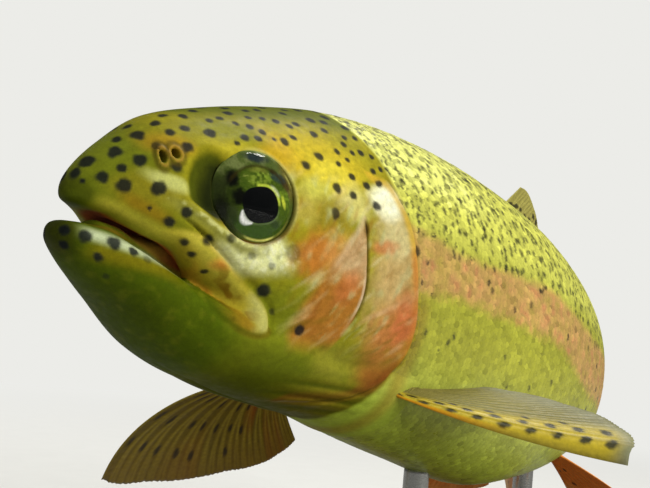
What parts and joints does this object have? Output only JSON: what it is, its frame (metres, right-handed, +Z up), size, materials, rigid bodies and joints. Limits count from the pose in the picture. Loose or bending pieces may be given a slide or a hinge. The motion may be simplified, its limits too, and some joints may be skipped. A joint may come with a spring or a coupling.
{
  "type": "rainbow trout",
  "caption": "Life-size still model of a rainbow trout, whole fish with the tail turned to its right, on a plain display stand with two short rods.",
  "frame": {"origin": "middle of the model's footprint, on the floor under the stand", "axes": "+Z up, +X from the head toward the tail along the model's longest extent, -Y to the fish's left side"},
  "size_m": [0.2978, 0.1648, 0.1308],
  "materials": {
    "skin": "wet, glossy scaled skin, yellow-olive back with black spots and a pink side band",
    "fin": "thin rayed fin, olive to orange, satin to glossy",
    "eye": "clear cornea over a green-gold iris and a black pupil",
    "stand_wood": "satin walnut",
    "stand_metal": "brushed steel"
  },
  "bodies": {
    "root": {"head": "skin", "lower_jaw": "skin", "maxilla_left": "skin", "maxilla_right": "skin", "gill_cover_left": "skin", "gill_cover_right": "skin", "trunk_front": "skin", "trunk_middle": "skin", "trunk_rear": "skin", "tail_stalk": "skin", "dorsal_fin": "fin", "adipose_fin": "fin", "anal_fin": "fin", "caudal_fin": "fin", "pectoral_fin_left": "fin", "pectoral_fin_right": "fin", "pelvic_fin_left": "fin", "pelvic_fin_right": "fin", "eye_left": "eye", "eye_right": "eye", "stand_base": "stand_wood", "stand_rod_front": "stand_metal", "stand_rod_rear": "stand_metal"}
  },
  "joints": []
}
